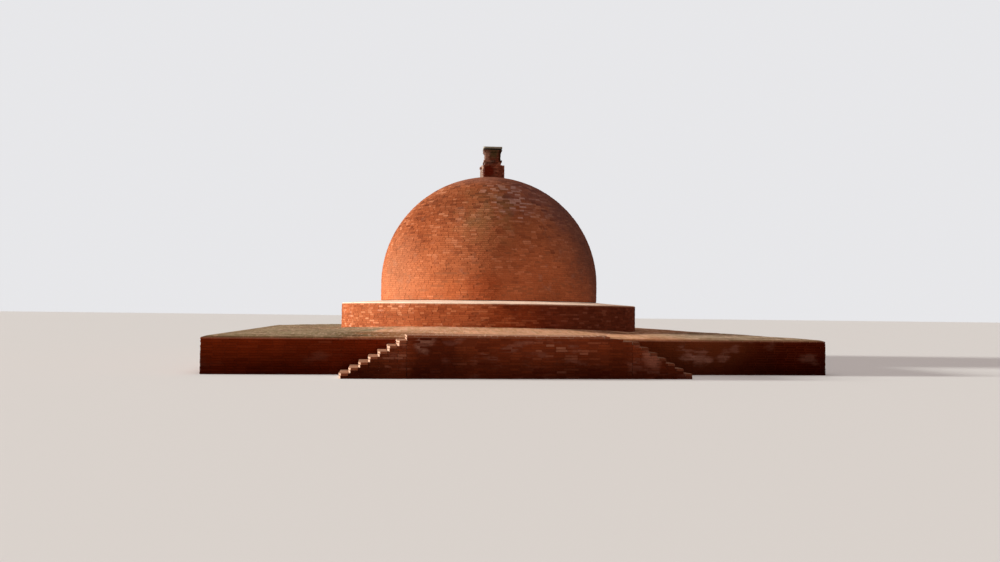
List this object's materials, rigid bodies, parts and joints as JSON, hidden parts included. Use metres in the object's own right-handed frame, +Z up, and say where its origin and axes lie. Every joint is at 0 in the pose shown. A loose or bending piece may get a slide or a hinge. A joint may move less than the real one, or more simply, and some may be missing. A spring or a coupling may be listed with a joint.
{
  "type": "brick stupa",
  "caption": "Brick stupa: domed mound on a round drum and a square walled platform, with a front landing, side flights and a small square harmika on top.",
  "frame": {"origin": "on the dome's axis, on the underside of the platform, level with the ground", "axes": "+Z up; -Y out of the front wall that carries the landing and its flights; +X to the right along that wall"},
  "size_m": [18.9, 20.52, 8.5562],
  "materials": {
    "dome_brick": "matte",
    "wall_brick": "matte",
    "tread_brick": "matte",
    "terrace_paving": "matte",
    "lime_plaster": "matte",
    "earth_fill": "matte",
    "cap_stone": "matte"
  },
  "bodies": {
    "root": {"front_wall": "wall_brick", "back_wall": "wall_brick", "left_wall": "wall_brick", "right_wall": "wall_brick", "platform_fill": "earth_fill", "terrace_front": "terrace_paving", "terrace_right": "terrace_paving", "terrace_back": "terrace_paving", "terrace_left": "terrace_paving", "front_apron": "terrace_paving", "landing_block": "wall_brick", "landing_paving": "tread_brick", "left_flight": "wall_brick", "left_tread_1": "tread_brick", "left_tread_2": "tread_brick", "left_tread_3": "tread_brick", "left_tread_4": "tread_brick", "left_tread_5": "tread_brick", "left_tread_6": "tread_brick", "left_tread_7": "tread_brick", "right_flight": "wall_brick", "right_tread_1": "tread_brick", "right_tread_2": "tread_brick", "right_tread_3": "tread_brick", "right_tread_4": "tread_brick", "right_tread_5": "tread_brick", "right_tread_6": "tread_brick", "right_tread_7": "tread_brick", "drum": "dome_brick", "berm": "lime_plaster", "dome_foot": "dome_brick", "dome": "dome_brick", "harmika_base": "dome_brick", "harmika_waist": "dome_brick", "harmika_moulding": "dome_brick", "harmika_neck": "dome_brick", "harmika_corbel": "dome_brick", "harmika_cap": "cap_stone"}
  },
  "joints": []
}
